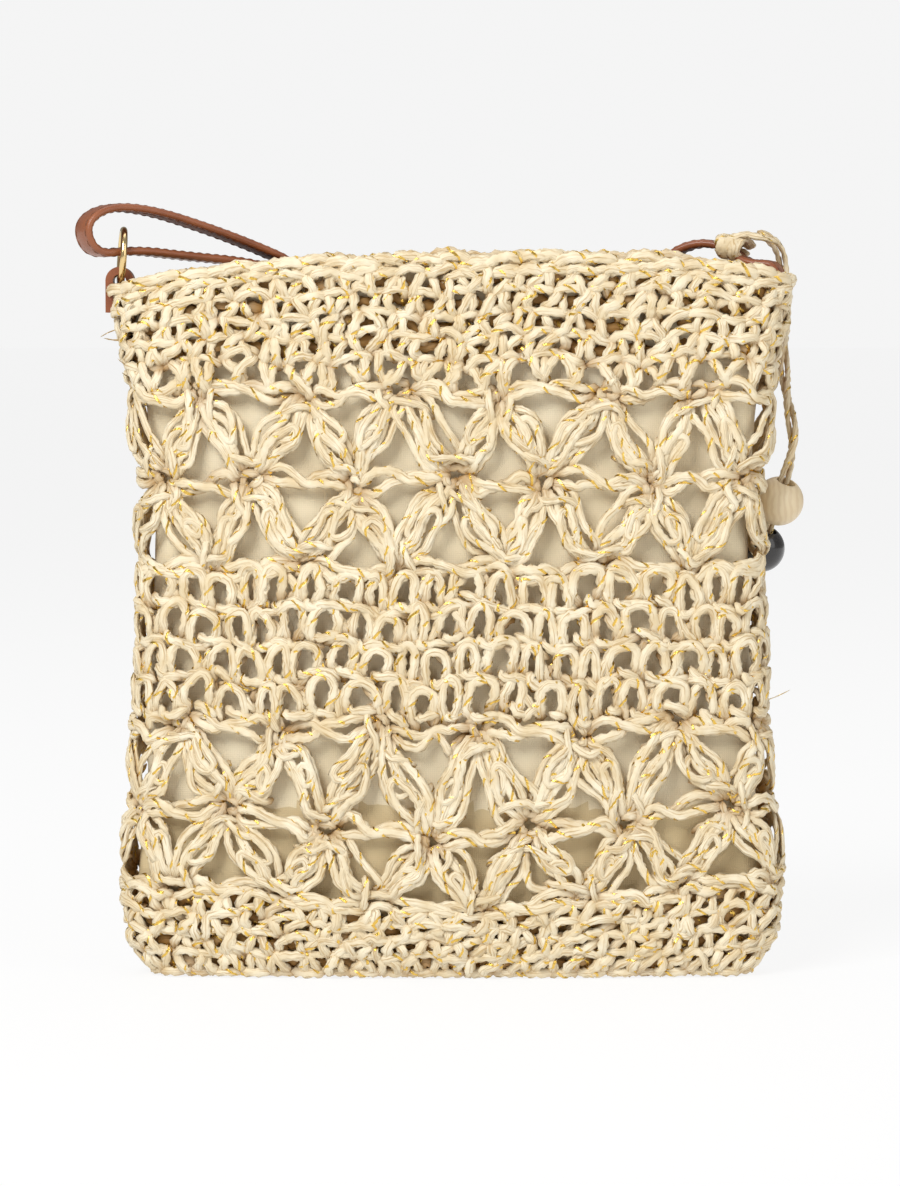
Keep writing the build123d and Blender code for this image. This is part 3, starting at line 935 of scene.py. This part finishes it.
@dataclass
class Lining:
    """The cloth lining, seen through the open rows."""

    inset: float = 4.7
    floor: float = 6.0
    hem: float = 56.0
    below_rim: float = 1.8
    columns: int = 120
    rows: int = 90
    thickness: float = 0.5

    def panel(self, name: str, start: float, material: bpy.types.Material,
              low: bpy.types.Material) -> bpy.types.Object:
        """One half of the lining, creased where it hangs loose.

        Args:
            name: The panel's name.
            start: Where it starts round the bag.
            material: Its finish.
            low: A darker copy of the cloth finish: painted shade below the hem.

        Returns:
            The panel.
        """
        across = np.linspace(0, 1, self.columns + 1)
        up = np.linspace(0, 1, self.rows + 1)
        share, level = np.meshgrid(across, up)
        s = start + share * FORM.girth / 2
        h = self.floor + level * (FORM.rim_middle - self.below_rim - self.floor)
        folds = 0.35 * np.sin(s * 0.21 + 0.9 * np.sin(h * 0.05)) + 0.25 * np.sin(h * 0.19 + s * 0.06)
        ridge = 0.5 * np.exp(-((h - self.hem) / 1.2) ** 2)
        points, _ = FORM.place(s, h, -self.inset - 0.3 + folds * 0.6 + ridge)
        index = np.arange(points.shape[0] * points.shape[1]).reshape(points.shape[:2])
        faces = np.stack([index[:-1, :-1], index[:-1, 1:], index[1:, 1:], index[1:, :-1]], -1).reshape(-1, 4)
        piece = new_mesh_object(name, points.reshape(-1, 3), faces, material)
        piece.data.materials.append(low)
        # Faces below the hem take the darker copy: painted shade under the fold at the hem.
        for polygon in piece.data.polygons:
            polygon.material_index = int(polygon.center.z < self.hem * MM)
        solid = piece.modifiers.new("cloth thickness", "SOLIDIFY")
        solid.thickness = self.thickness * MM
        solid.offset = -1
        return piece

    def build(self, finishes: Finishes) -> None:
        """Sew the two halves.

        Args:
            finishes: All finishes.
        """
        girth = FORM.girth
        for name, node, start in (("lining_cloth_front", "lining_front", -girth / 4),
                                  ("lining_cloth_back", "lining_back", girth / 4)):
            piece = self.panel(name, start, finishes.lining, finishes.lining_shaded_copy)
            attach(piece, "bag")
            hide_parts(node)
            LOG.info("%s", name)


# ---------------------------------------------------------------- strap


def nurbs_line(name: str, points: Sequence[Point]) -> np.ndarray:
    """Points read from a smooth NURBS line through a route's control points.

    Args:
        name: The piece's name.
        points: Places it runs by.

    Returns:
        The samples, in metres.
    """
    curve = bpy.data.curves.new(name, "CURVE")
    curve.dimensions = "3D"
    curve.resolution_u = 12
    line = curve.splines.new("NURBS")
    line.points.add(len(points) - 1)
    for control, place in zip(line.points, points):
        control.co = (*place, 1.0)
    line.order_u = 3
    line.use_endpoint_u = True
    holder = bpy.data.objects.new(name, curve)
    mesh = bpy.data.meshes.new_from_object(holder)
    samples = np.array([vertex.co[:] for vertex in mesh.vertices])
    bpy.data.objects.remove(holder)
    bpy.data.meshes.remove(mesh)
    return samples


def even(line: np.ndarray, step: float) -> np.ndarray:
    """Even samples along a line.

    Args:
        line: Places along it, in metres.
        step: The spacing of its samples.

    Returns:
        The samples, in metres.
    """
    run = np.concatenate([[0], np.cumsum(np.linalg.norm(np.diff(line, axis=0), axis=1))])
    places = np.linspace(0, run[-1], max(3, int(run[-1] / step)))
    return np.stack([np.interp(places, run, line[:, axis]) for axis in range(3)], -1)


@dataclass
class StrapMaker:
    """Flat stitched strap along a line."""

    width: float = 11.0 * MM
    thickness: float = 2.5 * MM
    stitch: float = 3.0 * MM
    edge: float = 1.7 * MM

    def section(self) -> np.ndarray:
        """The strap's section: rounded edges, a slight crown and a groove under each row of stitches.

        Returns:
            Across and out places round the section, in metres.
        """
        half, thin = self.width / 2, self.thickness / 2
        top = [(-half, 0.0), (-half + 0.0004, thin * 0.66), (-half + 0.0011, thin * 0.96),
               (-half + self.edge, thin * 0.88),
               (-half * 0.45, thin * 1.04), (0.0, thin * 1.08)]
        upper = top + [(-x, z) for x, z in reversed(top[:-1])]
        return np.array(upper + [(x, -z * 0.94) for x, z in reversed(upper[1:-1])])

    def sweep(self, name: str, line: np.ndarray, across: np.ndarray, finishes: Finishes) -> bpy.types.Object:
        """Sweep the strap.

        Args:
            name: The piece's name.
            line: Its middle line.
            across: The direction of its width at each place.
            finishes: All finishes.

        Returns:
            The strap, with its smooth face on the side of across x tangent.
        """
        tangent = np.gradient(line, axis=0)
        tangent /= np.linalg.norm(tangent, axis=1)[:, None]
        across = across - tangent * (across * tangent).sum(1)[:, None]
        across /= np.linalg.norm(across, axis=1)[:, None]
        face = np.cross(across, tangent)
        section = self.section()
        count = len(section)
        ring = line[:, None] + across[:, None] * section[None, :, :1] + face[:, None] * section[None, :, 1:]
        base = np.arange(len(line) - 1)[:, None] * count
        corner, following = np.arange(count)[None], (np.arange(count)[None] + 1) % count
        quads = np.stack([base + corner, base + count + corner, base + count + following,
                          base + following], -1)
        total = len(line) * count
        ends = [list(range(count)), list(range(total - 1, total - count - 1, -1))]
        faces = quads.reshape(-1, 4).tolist() + ends
        piece = new_mesh_object(name, ring.reshape(-1, 3), faces, finishes.leather)
        mesh = piece.data
        mesh.materials.append(finishes.suede)
        under = set(range(count // 2 + 2, count - 2))
        for index, polygon in enumerate(mesh.polygons):
            polygon.material_index = int(index < len(faces) - 2 and index % count in under)
        self.stitches(name + "_stitches", line, across, face, finishes, piece)
        return piece

    def stitches(self, name: str, line: np.ndarray, across: np.ndarray, face: np.ndarray, finishes: Finishes,
                 parent: bpy.types.Object) -> None:
        """Two rows of stitches on both faces, as one child piece.

        Args:
            name: The piece's name.
            line: Places along it, in metres.
            across: The direction of the strap's width.
            face: The direction its face looks.
            finishes: All finishes.
            parent: The strap they are sewn in.
        """
        run = np.concatenate([[0], np.cumsum(np.linalg.norm(np.diff(line, axis=0), axis=1))])
        starts = np.arange(self.stitch, run[-1] - self.stitch, self.stitch)
        points, faces, total = [], [], 0
        angle = np.linspace(0, 2 * math.pi, 6, endpoint=False)
        for side in (-1, 1):
            for way in (-1, 1):
                offset = side * (self.width / 2 - self.edge)
                lift = way * self.thickness / 2 * 0.93
                for start in starts:
                    places = np.linspace(start, start + self.stitch * 0.68, 4)
                    at = [np.stack([np.interp(places, run, values[:, k]) for k in range(3)],
                                   -1) for values in (line, across, face)]
                    middle = at[0] + at[1] * offset + at[2] * lift
                    size = np.array([0.00008, 0.00028, 0.00028, 0.00008])[:, None, None]
                    ring = (middle[:, None] + at[1][:, None] * (np.cos(angle)[None, :, None] * size)
                            + at[2][:, None] * (np.sin(angle)[None, :, None] * size))
                    base = np.arange(3)[:, None] * 6
                    corner, following = np.arange(6)[None], (np.arange(6)[None] + 1) % 6
                    quads = np.stack([base + corner, base + 6 + corner, base + 6 + following,
                                      base + following], -1)
                    points.append(ring.reshape(-1, 3))
                    faces.append(quads.reshape(-1, 4) + total)
                    total += 24
        if points:
            piece = new_mesh_object(name, np.vstack(points), np.vstack(faces), finishes.thread)
            piece.parent = parent


@dataclass
class Strap:
    """The strap: its loop through the left ring, its fall, its coil, and its sewn right end."""

    maker: StrapMaker = field(default_factory=StrapMaker)
    left_ring: Point = (-105.5, 0.0, 231.0)
    right_ring: Point = (100.5, 27.0, 217.0)
    left_turn: float = 28.0
    right_turn: float = 16.0
    coil_centre: tuple[float, float] = (0.0, 87.0)
    coil_start_radius: float = 52.0
    coil_grow: float = 5.4
    coil_turns: float = 1.5

    def plane_point(self, ring: Point, direction: tuple[float, float], u: float, z: float) -> Point:
        """A place in a strap end's upright plane, in metres."""
        return ((ring[0] + u * direction[0]) * MM, (ring[1] + u * direction[1]) * MM, z * MM)

    def left_loop(self, finishes: Finishes) -> None:
        """The doubled loop through the left ring, down to the slide buckle.

        Args:
            finishes: All finishes.
        """
        turn = math.radians(self.left_turn)
        direction = (math.cos(turn), math.sin(turn))
        route = [(67.2, 195.0), (67.4, 186.6), (61.8, 186.2), (62.0, 203.0), (61.0, 216.0), (56.0, 226.5),
                 (42.0, 229.8),
                 (22.0, 231.3), (3.0, 233.2), (-10.5, 231.2), (-14.6, 241.0), (-6.0, 246.9), (9.0, 246.0),
                 (28.0, 240.8),
                 (45.0, 235.2), (61.0, 229.0), (69.0, 215.0), (71.2, 200.0), (71.4, 186.0)]
        points = [self.plane_point(self.left_ring, direction, u, z) for u, z in route]
        line = even(nurbs_line("left_loop_route", points), 1.0 * MM)
        across = np.tile(np.array([direction[1], -direction[0], 0.0]), (len(line), 1))
        piece = self.maker.sweep("strap_ring_loop", line, across, finishes)
        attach(piece, "strap")
        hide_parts("strap_left_loop")
        LOG.info("strap_ring_loop")

    def right_end(self, finishes: Finishes) -> None:
        """The fold sewn round the right ring.

        Args:
            finishes: All finishes.
        """
        turn = math.radians(self.right_turn)
        direction = (-math.cos(turn), math.sin(turn))
        route = [(27.0, 228.6), (15.0, 230.4), (10.6, 225.0), (6.6, 220.0), (1.0, 219.3), (-6.6, 219.2),
                 (-6.8, 229.2),
                 (3.4, 229.0), (9.0, 233.6), (17.0, 236.4), (26.0, 234.6), (34.0, 228.0), (37.6, 219.0)]
        points = [self.plane_point(self.right_ring, direction, u, z) for u, z in route]
        line = even(nurbs_line("right_end_route", points), 1.0 * MM)
        across = np.tile(np.array([direction[1], -direction[0], 0.0]), (len(line), 1))
        piece = self.maker.sweep("strap_sewn_end", line, across, finishes)
        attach(piece, "strap")
        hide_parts("strap_right_end")
        LOG.info("strap_sewn_end")

    def free_run(self, finishes: Finishes) -> None:
        """The strap's free length: down behind the bag, round in a coil on the floor and up again.

        Args:
            finishes: All finishes.
        """
        fall = [(-42.46, 33.52, 186), (-42.08, 33.72, 156), (-43.2, 35.5, 122), (-46.5, 39.5, 90),
                (-51.0, 47.5, 61),
                (-55.5, 58.0, 36), (-59.0, 68.0, 17)]
        rise = [(59.5, 68.0, 17), (56.0, 58.0, 36), (54.0, 51.0, 61), (52.4, 46.0, 90), (51.2, 43.6, 122),
                (51.0, 42.2, 157), (53.65, 40.44, 191.15), (64.36, 37.36, 219)]
        steps = round(self.coil_turns * 14)
        coil = []
        for index in range(steps + 1):
            share = index / steps
            angle = math.radians(180) - share * self.coil_turns * 2 * math.pi
            radius = self.coil_start_radius + 5.0 + self.coil_grow * (0.5 - share) * 2
            coil.append((self.coil_centre[0] + radius * math.cos(angle),
                         self.coil_centre[1] + radius * math.sin(angle), 5.7))
        points = [(x * MM, y * MM, z * MM) for x, y, z in fall + coil + rise]
        line = even(nurbs_line("strap_route", points), 2.0 * MM)
        turn_left, turn_right = math.radians(self.left_turn), math.radians(self.right_turn)
        from_left = np.array([math.sin(turn_left), -math.cos(turn_left), 0])
        from_right = np.array([math.sin(turn_right), math.cos(turn_right), 0])
        run = np.concatenate([[0], np.cumsum(np.linalg.norm(np.diff(line, axis=0), axis=1))])
        down = np.clip((run - 0.05) / 0.14, 0, 1)[:, None]
        back = np.clip((run[-1] - run - 0.05) / 0.15, 0, 1)[:, None]
        ease_down, ease_back = down * down * (3 - 2 * down), back * back * (3 - 2 * back)
        upright = np.array([0, 0, 1.0])
        across = (from_left * (1 - ease_down) + upright * (ease_down + ease_back - 1)
                  + from_right * (1 - ease_back))
        piece = self.maker.sweep("strap_free_run", line, across, finishes)
        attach(piece, "strap")
        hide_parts("strap_left_fall", "strap_coil", "strap_right_fall")

    def build(self, finishes: Finishes) -> None:
        """Make every stretch.

        Args:
            finishes: All finishes.
        """
        self.free_run(finishes)
        self.left_loop(finishes)
        self.right_end(finishes)


# ---------------------------------------------------------------- tassel


@dataclass
class Tassel:
    """The straw tassel: hitch, two strands, two beads and an end knot."""

    cord_size: float = 4.4 * MM
    route: tuple[Point, ...] = (
        (100.5, 32.0, 239.5), (107.0, 34.0, 237.0), (109.8, 35.0, 226.0), (109.6, 33.6, 209.0),
                                (108.6, 27.0, 194.0),
        (110.2, 18.0, 180.0), (111.613, 10.212, 167.145), (97.98, 25.64, 126.76),
    )
    natural: Point = (106.5, 16.0, 152.0)
    black: Point = (101.2, 22.0, 136.3)
    line: np.ndarray | None = None

    def strands(self, finishes: Finishes) -> bpy.types.Object:
        """Two straw strands twisted loosely round each other.

        Args:
            finishes: All finishes.

        Returns:
            The piece.
        """
        line = even(nurbs_line("tassel_route", [(x * MM, y * MM, z * MM) for x, y, z in self.route]),
                    1.2 * MM)
        tangent = np.gradient(line, axis=0)
        tangent /= np.linalg.norm(tangent, axis=1)[:, None]
        first = np.cross(tangent, (1.0, 0.2, 0.1))
        first /= np.linalg.norm(first, axis=1)[:, None]
        second = np.cross(tangent, first)
        run = np.concatenate([[0], np.cumsum(np.linalg.norm(np.diff(line, axis=0), axis=1))]) / MM
        yarn = Yarn(half_width=1.25, half_thickness=0.95)
        for index in range(2):
            angle = (run * 0.16 + index * math.pi)[:, None]
            away = first * np.cos(angle) + second * np.sin(angle)
            yarn.strand(line + away * 1.05 * MM, away, np.full(len(line), 0.05), index * 1.7)
        piece = yarn.build("tassel_strands", finishes.straw)
        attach(piece, "tassel")
        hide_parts("tassel_cord")
        self.line = line
        return piece

    def knot(self, finishes: Finishes) -> bpy.types.Object:
        """The end knot: a few tight turns.

        Args:
            finishes: All finishes.

        Returns:
            The piece.
        """
        centre = self.line[-1]
        yarn = Yarn(half_width=1.15, half_thickness=0.8)
        axis = self.line[-1] - self.line[-4]
        axis /= np.linalg.norm(axis)
        side = np.cross(axis, (0, 0, 1.0))
        side /= np.linalg.norm(side)
        other = np.cross(axis, side)
        for index in range(3):
            angle = np.linspace(0, 2 * math.pi, 20)[:, None] + index * 2.1
            tilt = 0.6 * math.sin(index * 2.0)
            away = side * np.cos(angle) + other * np.sin(angle) + axis * tilt * np.sin(angle + 1.0)
            middle = centre + axis * (1.0 + index * 0.9) * MM
            yarn.strand(middle + away * 2.3 * MM, away, np.full(20, 0.1), index)
        piece = yarn.build("tassel_end_knot", finishes.straw)
        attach(piece, "tassel")
        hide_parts("tassel_knot")
        return piece

    def bead(self, name: str, node: str, centre: Point, radius: float, material: bpy.types.Material) -> bpy.types.Object:
        """A turned bead with a bore and softened mouths.

        Args:
            name: The piece's name.
            node: The frame node it stands for.
            centre: Its middle, in millimetres.
            radius: Its radius, in millimetres.
            material: Its finish.

        Returns:
            The piece.
        """
        bpy.ops.object.select_all(action="DESELECT")
        direction = Vector(self.black) - Vector(self.natural)
        turn = direction.to_track_quat("Z", "Y").to_euler()
        bpy.ops.mesh.primitive_uv_sphere_add(segments=48, ring_count=32, radius=radius * MM,
                                             location=Vector(centre) * MM, rotation=turn)
        piece = bpy.context.object
        piece.name = name
        bpy.ops.object.mode_set(mode="EDIT")
        bpy.ops.mesh.select_mode(type="VERT")
        bpy.ops.mesh.select_all(action="DESELECT")
        bpy.ops.object.mode_set(mode="OBJECT")
        bore = 2.45 * MM
        for vertex in piece.data.vertices:
            vertex.select = math.hypot(vertex.co.x, vertex.co.y) < bore
        bpy.ops.object.mode_set(mode="EDIT")
        bpy.ops.mesh.delete(type="VERT")
        bpy.ops.mesh.select_all(action="SELECT")
        bpy.ops.mesh.region_to_loop()
        bpy.ops.mesh.bridge_edge_loops()
        bpy.ops.mesh.select_all(action="SELECT")
        bpy.ops.mesh.normals_make_consistent(inside=False)
        bpy.ops.object.mode_set(mode="OBJECT")
        bevel = piece.modifiers.new("softened mouths", "BEVEL")
        bevel.width = 0.5 * MM
        bevel.segments = 3
        bevel.limit_method = "ANGLE"
        bevel.angle_limit = math.radians(40)
        bpy.ops.object.modifier_apply(modifier=bevel.name)
        bpy.ops.object.transform_apply(location=True, rotation=True, scale=True)
        bpy.ops.object.shade_smooth_by_angle(angle=math.radians(45))
        piece.data.materials.clear()
        piece.data.materials.append(material)
        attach(piece, node)
        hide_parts(node)
        LOG.info("%s", name)
        return piece

    def hitch(self, finishes: Finishes) -> None:
        """Loops of straw round the strap's end.

        Args:
            finishes: All finishes.
        """
        turn = math.radians(16.0)
        along = np.array([-math.cos(turn), math.sin(turn), 0.0])
        across = np.array([math.sin(turn), math.cos(turn), 0.0])
        yarn = Yarn(half_width=2.4, half_thickness=1.0)
        ring = np.array([100.5, 27.0, 0.0])
        angle = np.linspace(0, 2 * math.pi * 1.02, 44)[:, None]
        for index, (u, z, lean) in enumerate(((11.6, 235.0, 0.10), (9.8, 234.6, -0.12), (8.0, 234.2, 0.2),
                                              (6.4, 233.9, -0.15))):
            middle = ring + along * u + np.array([0, 0, z])
            wide = across * np.cos(angle) * 6.8
            tall = np.array([0, 0, 1.0]) * np.sin(angle) * 3.1
            drift = along * (np.sin(angle + 0.7) * 6 * lean + (angle / 6.3 - 0.5) * 1.8)
            away = across * np.cos(angle) + np.array([0, 0, 1.0]) * np.sin(angle)
            yarn.strand((middle + wide + tall + drift) * MM, away, np.full(len(angle), 0.05), index * 1.1)
        for index, side in enumerate((-1, 1)):
            knots = np.array([ring + along * 10 + across * -5 + (0, 0, 236.5),
                              ring + along * 5 + across * side * 2 + (0, 0, 238.6),
                              ring + along * -1 + across * side * 3 + (0, 0, 237.6),
                              ring + along * -5 + across * (4 + side) + (0, 0, 236.0)])
            line = spline(knots, 1.2) * MM
            yarn.strand(line, np.tile((0, -0.3, 0.95), (len(line), 1)), np.full(len(line), 0.05),
                        index * 2.0)
        piece = yarn.build("tassel_hitch_loops", finishes.straw)
        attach(piece, "strap")
        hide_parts("tassel_hitch")
        LOG.info("tassel_hitch_loops")

    def build(self, finishes: Finishes) -> None:
        """Make the tassel.

        Args:
            finishes: All finishes.
        """
        strands = self.strands(finishes)
        knot = self.knot(finishes)
        natural = self.bead("turned_wood_bead", "natural_bead", self.natural, 8.0, finishes.wood)
        black = self.bead("lacquered_bead", "black_bead", self.black, 7.75, finishes.lacquer)
        self.hitch(finishes)


# ---------------------------------------------------------------- hardware kept from the frame


@dataclass
class Hardware:
    """Rings, buckle, tabs and zip parts whose shapes are right, given their finishes."""

    def dress(self, nodes: Iterable[str], material: bpy.types.Material) -> None:
        """Assign a finish to frame nodes.

        Args:
            nodes: Frame node names.
            material: Its finish.
        """
        for node in nodes:
            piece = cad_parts[node]
            piece.data.materials.clear()
            piece.data.materials.append(material)
            LOG.info("%s: %s", node, material.name)

    def teeth(self, finishes: Finishes) -> None:
        """Separate teeth on both zip halves.

        Args:
            finishes: All finishes.
        """
        for side, half in ((-1, "front"), (1, "back")):
            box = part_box(f"zip_{half}_teeth")
            low, high = Vector(box[0]), Vector(box[1])
            count = 74
            pitch = (high.x - low.x) / count
            bpy.ops.object.select_all(action="DESELECT")
            bpy.ops.mesh.primitive_cube_add(size=1)
            tooth = bpy.context.object
            tooth.scale = (pitch * 0.56, high.y - low.y, high.z - low.z)
            tooth.location = (low.x + pitch * (0.5 if side < 0 else 0.9), (low.y + high.y) / 2,
                              (low.z + high.z) / 2)
            bpy.ops.object.transform_apply(location=True, rotation=True, scale=True)
            bpy.ops.object.mode_set(mode="EDIT")
            bpy.ops.mesh.select_all(action="SELECT")
            bpy.ops.mesh.bevel(offset=0.22 * MM, segments=2, affect="EDGES")
            bpy.ops.object.mode_set(mode="OBJECT")
            array = tooth.modifiers.new("row", "ARRAY")
            array.use_relative_offset = False
            array.use_constant_offset = True
            array.constant_offset_displace = (pitch, 0, 0)
            array.count = count - 1
            bpy.ops.object.modifier_apply(modifier=array.name)
            tooth.name = f"zip_{half}_tooth_row"
            tooth.data.materials.append(finishes.nickel)
            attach(tooth, f"zip_{half}_half")
            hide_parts(f"zip_{half}_teeth")
            LOG.info("%s", tooth.name)

    def build(self, finishes: Finishes) -> None:
        """Dress the kept nodes and make the teeth.

        Args:
            finishes: All finishes.
        """
        self.dress(("left_ring", "right_ring", "slide_buckle"), finishes.gold)
        self.dress(("left_tab", "right_tab"), finishes.leather)
        self.dress(("zip_slider", "zip_pull", "zip_pull_pin"), finishes.nickel)
        tapes = ("zip_facing_front", "zip_facing_back", "zip_start_piece", "zip_end_piece",
                 "zip_front_tape", "zip_back_tape")
        self.dress(tapes, finishes.tape)
        # The lining's base takes the darker copy of the cloth: painted shade.
        self.dress(("lining_base",), finishes.lining_shaded_copy)
        self.teeth(finishes)


# ---------------------------------------------------------------- stage


@dataclass
class Studio:
    """Floor, light and camera."""

    aim: Point = (-0.0005, 0.0, 0.1230)
    distance: float = 1.32
    elevation: float = 3.5
    lens: float = 124.5

    def floor(self) -> None:
        """A wide pale floor."""
        bpy.ops.object.select_all(action="DESELECT")
        bpy.ops.mesh.primitive_plane_add(size=160, location=(0, 60, 0))
        ground = bpy.context.object
        ground.name = "studio_floor"
        material = bpy.data.materials.new("studio_white")
        material.use_nodes = True
        shader = material.node_tree.nodes["Principled BSDF"]
        shader.inputs["Base Color"].default_value = (0.11, 0.11, 0.11, 1)
        shader.inputs["Emission Color"].default_value = (1, 1, 1, 1)
        shader.inputs["Emission Strength"].default_value = 0.85
        shader.inputs["Roughness"].default_value = 0.9
        ground.data.materials.append(material)

    def light(self, name: str, place: Point, size: float, power: float, aim: Point = (0, 0, 0.12)) -> None:
        """A soft square light aimed at the bag.

        Args:
            name: Its name.
            place: Where it stands.
            size: Its side.
            power: Its power in watts.
            aim: What it points at.
        """
        lamp = bpy.data.lights.new(name, "AREA")
        lamp.energy = power
        lamp.size = size
        holder = bpy.data.objects.new(name, lamp)
        holder.location = place
        holder.rotation_euler = (Vector(aim) - Vector(place)).to_track_quat("-Z", "Y").to_euler()
        bpy.context.scene.collection.objects.link(holder)

    def build(self) -> None:
        """Set up the studio."""
        self.floor()
        self.light("key_light", (-0.9, -1.5, 1.5), 1.0, 37)
        self.light("fill_light", (1.4, -1.2, 0.9), 1.4, 9)
        self.light("top_light", (0.1, 0.5, 1.9), 1.6, 10)
        world = bpy.context.scene.world or bpy.data.worlds.new("studio")
        bpy.context.scene.world = world
        world.use_nodes = True
        sky = world.node_tree.nodes["Background"]
        sky.inputs[0].default_value = (0.98, 0.98, 0.98, 1)
        seen = NodeSheet(world.node_tree).add("LightPath").outputs["Is Camera Ray"]
        strength = NodeSheet(world.node_tree).math("MULTIPLY_ADD", seen, 0.66, 0.27)
        world.node_tree.links.new(strength, sky.inputs[1])
        camera = bpy.data.cameras.new("camera")
        camera.lens = self.lens
        camera.sensor_width = 36
        holder = bpy.data.objects.new("camera", camera)
        lift = math.radians(self.elevation)
        aim = Vector(self.aim)
        holder.location = aim + Vector((0, -math.cos(lift), math.sin(lift))) * self.distance
        holder.rotation_euler = (aim - holder.location).to_track_quat("-Z", "Y").to_euler()
        bpy.context.scene.collection.objects.link(holder)
        bpy.context.scene.camera = holder
        bpy.context.scene.view_settings.view_transform = "Standard"


def main() -> None:
    """Build the purse and its studio."""
    logging.basicConfig(level=logging.INFO, format="%(name)s: %(message)s")
    Studio().build()
    finishes = Finishes()
    Strap().build(finishes)
    Tassel().build(finishes)
    CrochetBody().build(finishes)
    Lining().build(finishes)
    Hardware().build(finishes)


if __name__ == "__main__":
    main()
